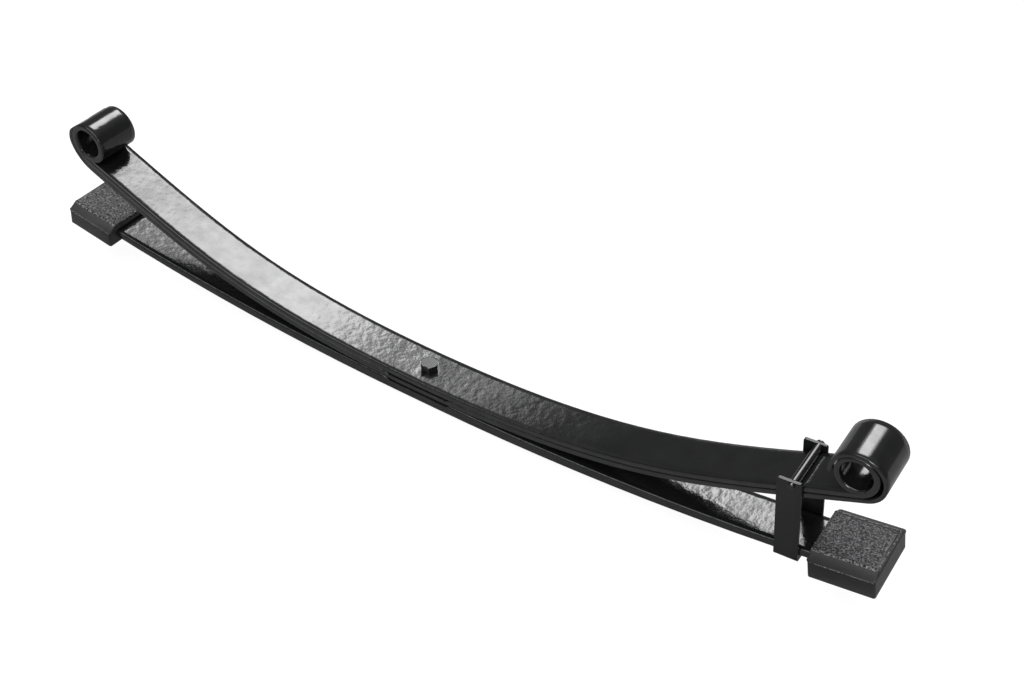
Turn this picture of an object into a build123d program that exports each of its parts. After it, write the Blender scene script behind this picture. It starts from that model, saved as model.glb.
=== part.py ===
from build123d import *
import os
from math import acos, atan, atan2, cos, degrees, radians, sin, sqrt

os.makedirs("parts", exist_ok=True)

# ---------------------------------------------------------------- sizes (mm)
# Frame: X along the spring, Y across it, +Z up.
# Origin: centre bolt axis on the flat seat under the helper leaf.
LEAF_WIDTH = 70.0

# centre stack, from the seat upward
HELPER_CENTRE_T = 16.6
HELPER_POCKET_FLOOR = 13.2
LOWER_SPACER_T = 5.0
SECOND_CENTRE_T = 9.6
SECOND_POCKET_DEPTH = 3.4
UPPER_SPACER_T = 4.2
MAIN_CENTRE_T = 9.6
SPACER_LENGTH = 98.0
POCKET_END_CLEAR = 1.0
POCKET_RAMP = 6.0
SPACER_WIDTH = 62.0

# main leaf camber: height of the top face over its centre is
# C2 u^2 + C3 u^3 + C4 u^4 + C5 u^5 + C6 u^6 with u = x / CAMBER_SPAN
CAMBER_SPAN = 500.0
CAMBER = {2: 57.91, 3: -0.91, 4: 53.57, 5: 0.56, 6: -18.97}
STATION_STEP = 177.0
STATIONS = 3
MAIN_EDGE_R = 2.9
SECOND_EDGE_R = 2.1
HELPER_EDGE_R = 3.8
SPACER_EDGE_R = 1.0
SEAT_CLEAR = 0.02

# thickness of each leaf along the arms: (distance from the bolt, left, right)
LEFT_END_T = 9.8
RIGHT_END_T = 8.2
MAIN_T = ((0, MAIN_CENTRE_T, MAIN_CENTRE_T), (300, 8.8, 8.8), (590, LEFT_END_T, RIGHT_END_T))
SECOND_T = ((0, SECOND_CENTRE_T, SECOND_CENTRE_T), (300, 8.6, 8.6), (590, 9.4, 7.4))
HELPER_T = ((0, HELPER_CENTRE_T, HELPER_CENTRE_T), (300, 14.4, 14.4), (690, 11.4, 10.4))
LEAF_GAP = ((0, 0.8, 0.8), (300, 0.7, 0.7), (590, 0.3, 0.7))

# eyes: bore centre from the end of the arm's top face, bore radius, outer roll
LINE_START_X = 590.0
RIGHT_EYE_DX = 49.4
RIGHT_EYE_RISE = 47.8
RIGHT_EYE_R = 21.0
RIGHT_ROLL_DX = 0.8
RIGHT_ROLL_DZ = -0.6
RIGHT_ROLL_R = 28.3
RIGHT_LINE_DEG = 23.5
RIGHT_IN_BEND = 27.0
RIGHT_OUT_BEND = 33.0
RIGHT_CUT_DEG = 240.0
RIGHT_TIP_DEG = 308.0
LEFT_EYE_DX = 24.0
LEFT_EYE_RISE = 44.1
LEFT_EYE_R = 22.8
LEFT_ROLL_DX = 0.2
LEFT_ROLL_DZ = -1.0
LEFT_ROLL_R = 32.2
LEFT_LINE_DEG = 25.0
LEFT_IN_BEND = 32.0
LEFT_OUT_BEND = 41.0
LEFT_CUT_DEG = 250.0
LEFT_TIP_DEG = 294.0
TIP_GAP = 0.5

# wrap of the second leaf round the right eye
WRAP_DX = 2.0
WRAP_DZ = -3.3
WRAP_IN_R = 31.7
WRAP_OUT_R = 37.1
WRAP_IN_BEND = 28.0
WRAP_OUT_BEND = 33.0
WRAP_IN_DEG = 23.9
WRAP_OUT_DEG = 25.2
WRAP_IN_DIST = 29.2
WRAP_OUT_DIST = 35.0
WRAP_TIP_DEG = 187.0

# short wrap of the second leaf behind the left eye, measured from the roll
HOOK_DX = 9.0
HOOK_DZ = -3.0
HOOK_OUT_R = 30.5
HOOK_OUT_BEND = 59.0
HOOK_CUT_DEG = 17.0
HOOK_TIP_DEG = 36.0
HOOK_TIP_T = 2.0
HOOK_INSET = 0.6
HOOK_EDGE_R = 0.5

# helper leaf: flat seat, then one arc per arm
HELPER_SEAT_HALF = 30.0
HELPER_RIGHT_R = 3282.0
HELPER_LEFT_R = 3486.0
HELPER_STEP = 150.0
HELPER_RIGHT_END = 678.0
HELPER_LEFT_END = 664.0

# centre bolt and nut
BOLT_D = 16.0
BOLT_HOLE_D = 16.5
DOWEL_HEAD_D = 24.0
DOWEL_HEAD_H = 10.0
NUT_AF = 24.0
NUT_H = 14.8
NUT_CLEARANCE = 0.04
NUT_SEAT = 0.05
DOWEL_CHAMFER = 1.2
BOLT_END_CHAMFER = 0.4

# end pads on the helper leaf
PAD_TOP_HALF = 37.5
PAD_HALF = 50.2
PAD_BEVEL_H = 9.4
PAD_H = 37.6
PAD_L = 87.8
PAD_CORNER_R = 5.0
PAD_TOP_R = 1.2
PAD_SLOT_CLEAR = 0.3
RIGHT_PAD = (605.6, 36.6, 10.1)
LEFT_PAD = (591.3, 33.3, 9.8)

# rebound clip on the right arm
CLIP_X = 577.7
CLIP_DROP = 7.0
CLIP_TILT_DEG = 5.4
CLIP_WIDTH = 32.0
CLIP_T = 4.2
CLIP_SIDE_CLEAR = 1.0
CLIP_OUTER_R = 6.5
CLIP_INNER_R = 3.0
CLIP_TOP_R = 2.5
CLIP_BEVEL_W = 7.5
CLIP_BEVEL_T = 1.3
TUBE_FORWARD = 4.0
TUBE_FROM_TOP = 5.0
TUBE_GAP = 0.35
TUBE_OD = 11.4
TUBE_END_CLEAR = 0.2
PIN_D = 7.0
PIN_RUN_CLEAR = 0.05
PIN_HOLE_CLEAR = 0.04
PIN_PROUD = 4.5
PIN_PEEN_D = 9.0
PIN_HEAD_D = 12.0
PIN_HEAD_H = 3.2
PIN_HEAD_SEAT = 0.03
PIN_RIM = 0.9
RIVET_D = 9.0
RIVET_SINK_D = 15.0
RIVET_SINK_H = 3.0
RIVET_HEAD_D = 17.0
RIVET_HEAD_H = 5.0
RIVET_CLEAR = 0.04

# ------------------------------------------------------------ derived sizes
SECOND_BASE = HELPER_POCKET_FLOOR + LOWER_SPACER_T + SEAT_CLEAR
SECOND_TOP = SECOND_BASE + SECOND_CENTRE_T
UPPER_SPACER_BASE = SECOND_TOP - SECOND_POCKET_DEPTH
MAIN_BASE = UPPER_SPACER_BASE + UPPER_SPACER_T + SEAT_CLEAR
STACK = MAIN_BASE + MAIN_CENTRE_T
NUT_BASE = STACK + NUT_SEAT
NUT_TOP = NUT_BASE + NUT_H
CLIP_HALF = LEAF_WIDTH / 2 + CLIP_SIDE_CLEAR
CLIP_OUT = CLIP_HALF + CLIP_T
POCKET_FLAT = SPACER_LENGTH + 2 * POCKET_END_CLEAR


def blend(table, x):
    """Linear value of a (distance, left, right) table at x."""
    side = 2 if x >= 0 else 1
    reach = abs(x)
    for low, high in zip(table, table[1:]):
        if reach <= high[0]:
            share = (reach - low[0]) / (high[0] - low[0])
            return low[side] + share * (high[side] - low[side])
    return table[-1][side]


def camber(x):
    """Height and slope of the main leaf's top face at x."""
    u = x / CAMBER_SPAN
    height = sum(c * u**n for n, c in CAMBER.items())
    slope = sum(n * c * u ** (n - 1) for n, c in CAMBER.items()) / CAMBER_SPAN
    return STACK + height, slope


def below(x, drop):
    """Point at a perpendicular drop below the main leaf's top face."""
    z, slope = camber(x)
    size = sqrt(1 + slope * slope)
    return (x + drop * slope / size, z - drop / size)


def main_drop(x):
    return blend(MAIN_T, x)


def second_top_drop(x):
    return main_drop(x) + blend(LEAF_GAP, x)


def second_low_drop(x):
    return second_top_drop(x) + blend(SECOND_T, x)


def unit(angle):
    return Vector(cos(radians(angle)), sin(radians(angle)))


def polar(centre, radius, angle):
    return centre + unit(angle) * radius


def facing(eye, angle, out, out_r):
    """Angle about `out` of the point its circle shows on a ray from the eye."""
    ray = unit(angle)
    shift = out - eye
    along = shift.dot(ray)
    reach = along + sqrt(out_r**2 - (shift - ray * along).length ** 2)
    spot = eye + ray * reach - out
    return degrees(atan2(spot.Y, spot.X)) % 360


def bend(start, angle, centre, radius, bend_radius):
    """Arc that leaves a line at `start` direction `angle` and joins a circle.

    Returns the bend centre, its tangent point on the line and the join angle.
    """
    normal = unit(angle + 90)
    distance = (centre - start).dot(normal)
    share = (distance - bend_radius) / (bend_radius - radius)
    join = angle + 90 - degrees(acos(share))
    middle = centre - unit(join) * (bend_radius - radius)
    return middle, middle - normal * bend_radius, join


def arc(centre, radius, start, end):
    """Edge along a circle from one angle to another."""
    half = (start + end) / 2
    points = [polar(centre, radius, a) for a in (start, half, end)]
    return ThreePointArc(*points)


def curl(top, line_deg, eye, eye_r, out, out_r, thick, bends, cut_deg):
    """Edges of a leaf end rolled up and over on the +X side, and its low line end.

    Runs from `top` round the inner circle to `cut_deg` and back round the outer one.
    """
    low = top - unit(line_deg + 90) * thick
    mid_in, touch_in, join_in = bend(top, line_deg, eye, eye_r, bends[0])
    mid_out, touch_out, join_out = bend(low, line_deg, out, out_r, bends[1])
    cut_out = facing(eye, cut_deg, out, out_r)
    half_in = (join_in + cut_deg) / 2
    half_out = (join_out + cut_out) / 2
    edges = [
        Line(top, touch_in),
        arc(mid_in, bends[0], line_deg - 90, join_in),
        arc(eye, eye_r, join_in, half_in),
        arc(eye, eye_r, half_in, cut_deg),
        Line(polar(eye, eye_r, cut_deg), polar(out, out_r, cut_out)),
        arc(out, out_r, cut_out, half_out),
        arc(out, out_r, half_out, join_out),
        arc(mid_out, bends[1], join_out, line_deg - 90),
        Line(touch_out, low),
    ]
    return edges, low


def tapered_tip(eye, eye_r, out, out_r, cut_deg, tip_deg, tip_thick):
    """Thinning tip of a part wrap, from its cut to a narrow radial end face."""
    tip_in = polar(eye, eye_r, tip_deg)
    tip_out = polar(eye, eye_r + tip_thick, tip_deg)
    cut_in = polar(eye, eye_r, cut_deg)
    cut_out_deg = facing(eye, cut_deg, out, out_r)
    cut_out = polar(out, out_r, cut_out_deg)
    along = unit(cut_out_deg + 90)
    return Face(
        Wire(
            [
                arc(eye, eye_r, cut_deg, tip_deg),
                Line(tip_in, tip_out),
                TangentArc(cut_out, tip_out, tangent=along),
                Line(cut_out, cut_in),
            ]
        )
    )


def mirrored(edges):
    return [edge.mirror(Plane.YZ) for edge in edges]


def two_arcs(start, start_way, end, end_way):
    """Two arcs that join two points and keep a direction at each."""
    span = end - start
    both = start_way + end_way
    turn = max(1 - start_way.dot(end_way), 1e-9)
    along = span.dot(both)
    reach = (sqrt(along**2 + 2 * turn * span.dot(span)) - along) / (2 * turn)
    middle = (start + end + (start_way - end_way) * reach) / 2
    way = (end - end_way * reach - start - start_way * reach).normalized()
    return [
        TangentArc(start, middle, tangent=start_way),
        TangentArc(middle, end, tangent=way),
    ]


def arc_chain(points, ways):
    """Smooth run of arcs through the points, each with its direction."""
    edges = []
    for i in range(len(points) - 1):
        edges += two_arcs(points[i], ways[i], points[i + 1], ways[i + 1])
    return edges


def long_curve(start, end, start_deg, end_deg, drop):
    """Smooth arm-to-arm edges at a given drop below the top face."""
    stations = [i * STATION_STEP for i in range(-STATIONS, STATIONS + 1)]

    def spot(x):
        return Vector(*below(x, drop(x)))

    points = [start, *[spot(x) for x in stations], end]
    inner = [(spot(x + 1) - spot(x - 1)).normalized() for x in stations]
    return arc_chain(points, [unit(start_deg), *inner, unit(end_deg)])


def slab(face, width, radius, cuts=()):
    """Outline extruded across the width, long edges rounded except at the cuts."""
    if face.normal_at().Z < 0:
        face = -face
    solid = extrude(Plane.XZ * face, width / 2, both=True)
    sides = []
    for edge in solid.edges():
        middle = edge.center()
        spot = Vector(middle.X, middle.Z)
        at_cut = any((spot - cut).length < 0.5 for cut in cuts)
        if abs(abs(middle.Y) - width / 2) < 1e-4 and not at_cut:
            sides.append(edge)
    return fillet(sides, radius)


def cut_spot(eye, eye_r, out, out_r, cut_deg):
    cut_out = polar(out, out_r, facing(eye, cut_deg, out, out_r))
    return (polar(eye, eye_r, cut_deg) + cut_out) / 2


def resting_tip(top, line_deg, eye, eye_r, out, out_r, cut_deg, tip_deg):
    """Last stretch of a full eye, scarfed flat where it rests over its own arm."""
    cut_out = facing(eye, cut_deg, out, out_r)
    tip_out = facing(eye, tip_deg, out, out_r)
    stretch = Face(
        Wire(
            [
                arc(eye, eye_r, cut_deg, tip_deg),
                Line(polar(eye, eye_r, tip_deg), polar(out, out_r, tip_out)),
                arc(out, out_r, tip_out, cut_out),
                Line(polar(out, out_r, cut_out), polar(eye, eye_r, cut_deg)),
            ]
        )
    )
    ends = [cut_spot(eye, eye_r, out, out_r, angle) for angle in (cut_deg, tip_deg)]
    floor = Pos(top.X, 0, top.Y) * Rot(0, -line_deg, 0) * Pos(0, 0, TIP_GAP) * Box(
        8 * out_r, 2 * LEAF_WIDTH, 2 * out_r, align=(Align.CENTER, Align.CENTER, Align.MAX)
    )
    return slab(stretch, LEAF_WIDTH, MAIN_EDGE_R, ends) - floor


def upright(diameter, low, high):
    return Pos(0, 0, low) * Cylinder(
        diameter / 2, high - low, align=(Align.CENTER, Align.CENTER, Align.MIN)
    )


def pocket(floor, top):
    """Shallow cross pocket with ramped ends."""
    half = POCKET_FLAT / 2
    outline = Polyline(
        (-half, floor), (half, floor), (half + POCKET_RAMP, top), (half + POCKET_RAMP, top + 9),
        (-half - POCKET_RAMP, top + 9), (-half - POCKET_RAMP, top), close=True,
    )
    return extrude(Plane.XZ * make_face(outline), LEAF_WIDTH, both=True)


def helper_low(x):
    """Height and slope of the helper leaf's lower face at x."""
    reach = abs(x) - HELPER_SEAT_HALF
    if reach <= 0:
        return 0.0, 0.0
    size = HELPER_RIGHT_R if x > 0 else HELPER_LEFT_R
    drop = sqrt(size * size - reach * reach)
    return size - drop, (reach / drop) * (1 if x > 0 else -1)


def helper_point(x, offset):
    z, slope = helper_low(x)
    size = sqrt(1 + slope * slope)
    return Vector(x - offset * slope / size, z + offset / size)


def helper_face(clear):
    """Side outline of the helper leaf, grown by a clearance."""
    right = HELPER_RIGHT_END + clear
    left = -HELPER_LEFT_END - clear
    steps = int(HELPER_LEFT_END // HELPER_STEP)
    stations = [left, *[i * HELPER_STEP for i in range(-steps, steps + 1)], right]

    def spot(x):
        return helper_point(x, blend(HELPER_T, x) + clear)

    top = [spot(x) for x in stations]
    ways = [(spot(x + 1) - spot(x - 1)).normalized() for x in stations]
    low = {x: helper_point(x, -clear) for x in (left, left / 2, right / 2, right)}
    seat = [Vector(side * HELPER_SEAT_HALF, -clear) for side in (-1, 1)]
    return Face(
        Wire(
            [
                *arc_chain(top, ways),
                Line(top[-1], low[right]),
                ThreePointArc(low[right], low[right / 2], seat[1]),
                Line(seat[1], seat[0]),
                ThreePointArc(seat[0], low[left / 2], low[left]),
                Line(low[left], top[0]),
            ]
        )
    )


def plain_slab(face, width):
    if face.normal_at().Z < 0:
        face = -face
    return extrude(Plane.XZ * face, width / 2, both=True)


def hexagon(across_flats, low, high):
    outline = RegularPolygon(across_flats / 2, 6, major_radius=False)
    face = Pos(0, 0, low) * outline
    solid = extrude(face, high - low)
    reach = across_flats / 2 + 0.9
    cone = Pos(0, 0, high - 1.4) * Cone(
        reach + 1.2, reach, 1.4, align=(Align.CENTER, Align.CENTER, Align.MIN)
    )
    barrel = upright(2 * (reach + 1.2), low, high - 1.4)
    return solid & (cone + barrel)


def spacer(low, high):
    block = Pos(0, 0, low) * Box(
        SPACER_LENGTH, SPACER_WIDTH, high - low, align=(Align.CENTER, Align.CENTER, Align.MIN)
    )
    block = fillet(block.edges().filter_by(Axis.Z), 3 * SPACER_EDGE_R)
    block = chamfer(block.faces().sort_by(Axis.Z)[-1].edges(), SPACER_EDGE_R / 2)
    return block - upright(BOLT_HOLE_D, low - 1, high + 1)


def pad(place, side):
    """End pad: bevelled block on the helper leaf's end, built outward along +X."""
    x, z, tilt = place
    outline = Polyline(
        (-PAD_HALF, -PAD_H), (PAD_HALF, -PAD_H), (PAD_HALF, -PAD_BEVEL_H),
        (PAD_TOP_HALF, 0), (-PAD_TOP_HALF, 0), (-PAD_HALF, -PAD_BEVEL_H), close=True,
    )
    block = extrude(Plane.YZ * make_face(outline), PAD_L)
    corners = [e for e in block.edges() if abs(e.center().Z + (PAD_H + PAD_BEVEL_H) / 2) < 0.1
               and abs(abs(e.center().Y) - PAD_HALF) < 0.1 and e.length < PAD_H]
    block = fillet(corners, PAD_CORNER_R)
    block = fillet(block.edges().group_by(Axis.Z)[-1], PAD_TOP_R)
    block = Pos(x, 0, z + STACK) * Rot(0, -tilt, 0) * block
    return block if side > 0 else block.mirror(Plane.YZ)


# ------------------------------------------------------------------- leaves
right_top = Vector(LINE_START_X, camber(LINE_START_X)[0])
left_top = Vector(LINE_START_X, camber(-LINE_START_X)[0])
right_eye = right_top + Vector(RIGHT_EYE_DX, RIGHT_EYE_RISE)
right_roll = right_eye + Vector(RIGHT_ROLL_DX, RIGHT_ROLL_DZ)
left_eye = left_top + Vector(LEFT_EYE_DX, LEFT_EYE_RISE)
left_roll = left_eye + Vector(LEFT_ROLL_DX, LEFT_ROLL_DZ)
wrap = right_eye + Vector(WRAP_DX, WRAP_DZ)

right_edges, right_low = curl(
    right_top, RIGHT_LINE_DEG, right_eye, RIGHT_EYE_R, right_roll, RIGHT_ROLL_R,
    RIGHT_END_T, (RIGHT_IN_BEND, RIGHT_OUT_BEND), RIGHT_CUT_DEG,
)
right_tip = resting_tip(
    right_top, RIGHT_LINE_DEG, right_eye, RIGHT_EYE_R, right_roll, RIGHT_ROLL_R,
    RIGHT_CUT_DEG, RIGHT_TIP_DEG,
)
left_edges, left_low = curl(
    left_top, LEFT_LINE_DEG, left_eye, LEFT_EYE_R, left_roll, LEFT_ROLL_R,
    LEFT_END_T, (LEFT_IN_BEND, LEFT_OUT_BEND), LEFT_CUT_DEG,
)
left_tip = resting_tip(
    left_top, LEFT_LINE_DEG, left_eye, LEFT_EYE_R, left_roll, LEFT_ROLL_R,
    LEFT_CUT_DEG, LEFT_TIP_DEG,
)
left_start = Vector(-left_top.X, left_top.Y)
left_base = Vector(-left_low.X, left_low.Y)

top_edge = long_curve(left_start, right_top, -LEFT_LINE_DEG, RIGHT_LINE_DEG, lambda x: 0)
low_edge = long_curve(left_base, right_low, -LEFT_LINE_DEG, RIGHT_LINE_DEG, main_drop)
right_cut = cut_spot(right_eye, RIGHT_EYE_R, right_roll, RIGHT_ROLL_R, RIGHT_CUT_DEG)
left_cut = cut_spot(left_eye, LEFT_EYE_R, left_roll, LEFT_ROLL_R, LEFT_CUT_DEG)
main_leaf = slab(
    Face(Wire([*right_edges, *low_edge, *mirrored(left_edges), *top_edge])),
    LEAF_WIDTH, MAIN_EDGE_R, [right_cut, Vector(-left_cut.X, left_cut.Y)],
)
main_leaf = main_leaf + right_tip + left_tip.mirror(Plane.YZ)
main_leaf -= upright(BOLT_HOLE_D, MAIN_BASE - 5, STACK + 5)

# second leaf: full wrap round the right eye, short wrap behind the left one
wrap_in_normal = unit(WRAP_IN_DEG + 90)
wrap_out_normal = unit(WRAP_OUT_DEG + 90)


def on_line(normal, distance, x):
    """Point at x on the line that passes a given distance under the wrap centre."""
    return Vector(x, wrap.Y - (distance + (x - wrap.X) * normal.X) / normal.Y)


wrap_top = on_line(wrap_in_normal, WRAP_IN_DIST, LINE_START_X)
wrap_low = on_line(wrap_out_normal, WRAP_OUT_DIST, LINE_START_X)
in_mid, in_touch, in_join = bend(wrap_top, WRAP_IN_DEG, wrap, WRAP_IN_R, WRAP_IN_BEND)
out_mid, out_touch, out_join = bend(wrap_low, WRAP_OUT_DEG, wrap, WRAP_OUT_R, WRAP_OUT_BEND)
hook_gap = second_top_drop(-LINE_START_X) - LEFT_END_T
hook_in_r = LEFT_ROLL_R + hook_gap
hook_out = left_roll + Vector(HOOK_DX, HOOK_DZ)
hook_top = left_top - unit(LEFT_LINE_DEG + 90) * (LEFT_END_T + hook_gap)
hook_edges, hook_low = curl(
    hook_top, LEFT_LINE_DEG, left_roll, hook_in_r, hook_out, HOOK_OUT_R,
    blend(SECOND_T, -LINE_START_X), (LEFT_OUT_BEND + hook_gap, HOOK_OUT_BEND), HOOK_CUT_DEG,
)
hook_tip = tapered_tip(
    left_roll, hook_in_r, hook_out, HOOK_OUT_R, HOOK_CUT_DEG, HOOK_TIP_DEG, HOOK_TIP_T
)
end_top = Vector(-hook_top.X, hook_top.Y)
end_low = Vector(-hook_low.X, hook_low.Y)
wrap_end = Line(polar(wrap, WRAP_IN_R, WRAP_TIP_DEG), polar(wrap, WRAP_OUT_R, WRAP_TIP_DEG))
second_outline = [
    *long_curve(end_top, wrap_top, -LEFT_LINE_DEG, WRAP_IN_DEG, second_top_drop),
    Line(wrap_top, in_touch),
    arc(in_mid, WRAP_IN_BEND, WRAP_IN_DEG - 90, in_join),
    arc(wrap, WRAP_IN_R, in_join, (in_join + WRAP_TIP_DEG) / 2),
    arc(wrap, WRAP_IN_R, (in_join + WRAP_TIP_DEG) / 2, WRAP_TIP_DEG),
    wrap_end,
    arc(wrap, WRAP_OUT_R, WRAP_TIP_DEG, (out_join + WRAP_TIP_DEG) / 2),
    arc(wrap, WRAP_OUT_R, (out_join + WRAP_TIP_DEG) / 2, out_join),
    arc(out_mid, WRAP_OUT_BEND, out_join, WRAP_OUT_DEG - 90),
    Line(out_touch, wrap_low),
    *long_curve(end_low, wrap_low, -LEFT_LINE_DEG, WRAP_OUT_DEG, second_low_drop),
    *mirrored(hook_edges),
]
hook_cut = cut_spot(left_roll, hook_in_r, hook_out, HOOK_OUT_R, HOOK_CUT_DEG)
second_leaf = slab(
    Face(Wire(second_outline)), LEAF_WIDTH, SECOND_EDGE_R,
    [wrap_end.center(), Vector(-hook_cut.X, hook_cut.Y)],
)
hook_tip = slab(hook_tip, LEAF_WIDTH - 2 * HOOK_INSET, HOOK_EDGE_R, [hook_cut])
second_leaf += hook_tip.mirror(Plane.YZ)
second_leaf -= pocket(UPPER_SPACER_BASE, SECOND_TOP)
second_leaf -= upright(BOLT_HOLE_D, SECOND_BASE - 5, SECOND_TOP + 5)

helper_ends = [helper_point(x, blend(HELPER_T, x) / 2) for x in (-HELPER_LEFT_END, HELPER_RIGHT_END)]
helper_blank = slab(helper_face(0), LEAF_WIDTH, HELPER_EDGE_R, helper_ends)
helper_leaf = helper_blank - pocket(HELPER_POCKET_FLOOR, HELPER_CENTRE_T)
helper_leaf -= upright(BOLT_HOLE_D, -5, HELPER_CENTRE_T + 5)

# -------------------------------------------------------- centre bolt stack
centre_bolt = upright(BOLT_D, 0, NUT_TOP) + upright(DOWEL_HEAD_D, -DOWEL_HEAD_H, 0)
bolt_rims = centre_bolt.edges().filter_by(GeomType.CIRCLE).sort_by(Axis.Z)
centre_bolt = chamfer(bolt_rims[0], DOWEL_CHAMFER)
bolt_rims = centre_bolt.edges().filter_by(GeomType.CIRCLE).sort_by(Axis.Z)
centre_bolt = chamfer(bolt_rims[-1], BOLT_END_CHAMFER)
centre_nut = hexagon(NUT_AF, NUT_BASE, NUT_TOP)
centre_nut -= upright(BOLT_D + 2 * NUT_CLEARANCE, NUT_BASE - 1, NUT_TOP + 1)
lower_spacer = spacer(HELPER_POCKET_FLOOR, HELPER_POCKET_FLOOR + LOWER_SPACER_T)
upper_spacer = spacer(UPPER_SPACER_BASE, UPPER_SPACER_BASE + UPPER_SPACER_T)

# ----------------------------------------------------------------- end pads
slot = plain_slab(helper_face(PAD_SLOT_CLEAR), LEAF_WIDTH + 2 * PAD_SLOT_CLEAR)
right_pad = pad(RIGHT_PAD, 1) - slot
left_pad = pad(LEFT_PAD, -1) - slot

# ------------------------------------------------------------- rebound clip
seat_z, seat_slope = helper_low(CLIP_X)
clip_foot = Vector(CLIP_X, seat_z - CLIP_DROP)
clip_frame = Pos(clip_foot.X, 0, clip_foot.Y) * Rot(0, -CLIP_TILT_DEG, 0)


def tube_place():
    """Forward and upward place in the clip of a tube that clears the main leaf."""
    x = CLIP_X
    for _ in range(8):
        spot = Vector(*below(x, -TUBE_OD / 2 - TUBE_GAP)) - clip_foot
        forward = spot.dot(unit(CLIP_TILT_DEG))
        x += TUBE_FORWARD - forward
    return forward, spot.dot(unit(CLIP_TILT_DEG + 90))


tube_forward, tube_height = tube_place()
clip_height = tube_height + TUBE_FROM_TOP


def channel(half, low, high, radius):
    """Upright channel section block with rounded lower corners, along local X."""
    block = Pos(0, 0, low) * Box(
        CLIP_WIDTH, 2 * half, high - low, align=(Align.CENTER, Align.CENTER, Align.MIN)
    )
    lows = block.edges().filter_by(Axis.X).group_by(Axis.Z)[0]
    return fillet(lows, radius)


outer = channel(CLIP_OUT, 0, clip_height, CLIP_OUTER_R)
corners = outer.edges().filter_by(Axis.Y).group_by(Axis.Z)[-1]
outer = fillet(corners, CLIP_TOP_R)
for side in (-1, 1):
    wedge = Polyline(
        (CLIP_WIDTH / 2, side * CLIP_OUT), (CLIP_WIDTH / 2 - CLIP_BEVEL_W, side * CLIP_OUT),
        (CLIP_WIDTH / 2, side * (CLIP_OUT - CLIP_BEVEL_T)), close=True,
    )
    outer -= extrude(Pos(0, 0, CLIP_OUTER_R) * make_face(wedge), clip_height)
inner_face = Polyline(
    (-CLIP_HALF, 0), (CLIP_HALF, 0), (CLIP_HALF, 2 * clip_height),
    (-CLIP_HALF, 2 * clip_height), close=True,
)
inner = extrude(Plane.YZ * make_face(inner_face), 2 * CLIP_WIDTH, both=True)
inner = fillet(inner.edges().filter_by(Axis.X).group_by(Axis.Z)[0], CLIP_INNER_R)
seat_frame = Pos(CLIP_X, 0, seat_z - 2.5 * SEAT_CLEAR) * Rot(0, -degrees(atan(seat_slope)), 0)
pin_axis = clip_frame * Pos(tube_forward, 0, tube_height) * Rot(90, 0, 0)
clip_strap = clip_frame * outer - seat_frame * inner
clip_strap -= pin_axis * Cylinder(PIN_D / 2 + PIN_HOLE_CLEAR, 4 * CLIP_OUT)

clip_pin = pin_axis * Cylinder(PIN_D / 2, 2 * CLIP_OUT + 2)
peen_low = CLIP_OUT + PIN_HEAD_SEAT
clip_pin += pin_axis * Pos(0, 0, (peen_low + CLIP_OUT + PIN_PROUD) / 2) * Cylinder(
    PIN_PEEN_D / 2, CLIP_OUT + PIN_PROUD - peen_low
)
clip_pin += pin_axis * Pos(0, 0, -(peen_low + PIN_HEAD_H / 2)) * Cylinder(
    PIN_HEAD_D / 2, PIN_HEAD_H
)
pin_rims = clip_pin.edges().filter_by(GeomType.CIRCLE)
clip_pin = chamfer([pin_rims.sort_by(Axis.Y)[0], pin_rims.sort_by(Axis.Y)[-1]], PIN_RIM)
tube_length = 2 * (CLIP_HALF - TUBE_END_CLEAR)
clip_tube = pin_axis * Cylinder(TUBE_OD / 2, tube_length)
clip_tube -= pin_axis * Cylinder(PIN_D / 2 + PIN_RUN_CLEAR, 2 * tube_length)

# rivet through the clip base and the helper leaf, flush with the leaf's top
leaf_here = blend(HELPER_T, CLIP_X)
shank = seat_frame * Pos(0, 0, -CLIP_WIDTH) * Cylinder(
    RIVET_D / 2, CLIP_WIDTH + leaf_here, align=(Align.CENTER, Align.CENTER, Align.MIN)
)


def sink(grow, over):
    """Countersink cone in the leaf's top, carried past the face by `over`."""
    spread = (RIVET_SINK_D - RIVET_D) / 2
    return seat_frame * Pos(0, 0, leaf_here - RIVET_SINK_H) * Cone(
        RIVET_D / 2 + grow, RIVET_D / 2 + grow + spread * (1 + over / RIVET_SINK_H),
        RIVET_SINK_H + over, align=(Align.CENTER, Align.CENTER, Align.MIN),
    )


head = clip_frame * Pos(0, 0, -RIVET_HEAD_H / 2 - SEAT_CLEAR) * Cylinder(
    RIVET_HEAD_D / 2, RIVET_HEAD_H
)
head = chamfer(head.edges().filter_by(GeomType.CIRCLE).sort_by(Axis.Z)[0], RIVET_HEAD_H / 2)
above_head = clip_frame * Pos(0, 0, -1) * Box(
    2 * CLIP_WIDTH, 2 * CLIP_WIDTH, 2 * CLIP_WIDTH,
    align=(Align.CENTER, Align.CENTER, Align.MIN),
)
clip_rivet = (shank & above_head) + sink(0, 0) + head
hole = seat_frame * Cylinder(RIVET_D / 2 + RIVET_CLEAR, 4 * CLIP_WIDTH)
clip_strap -= hole
helper_leaf -= hole
helper_leaf -= sink(RIVET_CLEAR, RIVET_SINK_H)

print("left eye", left_eye, "right eye", right_eye, "tube", pin_axis.position)
nodes = {
    "main_leaf": main_leaf,
    "second_leaf": second_leaf,
    "helper_leaf": helper_leaf,
    "centre_bolt": centre_bolt,
    "centre_nut": centre_nut,
    "lower_spacer": lower_spacer,
    "upper_spacer": upper_spacer,
    "right_pad": right_pad,
    "left_pad": left_pad,
    "clip_strap": clip_strap,
    "clip_pin": clip_pin,
    "clip_tube": clip_tube,
    "clip_rivet": clip_rivet,
}
for name, shape in nodes.items():
    box = shape.bounding_box()
    print(name, shape.is_valid, len(shape.solids()), round(shape.volume), box.min, box.max)
    export_step(shape, f"parts/{name}.step")
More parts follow.
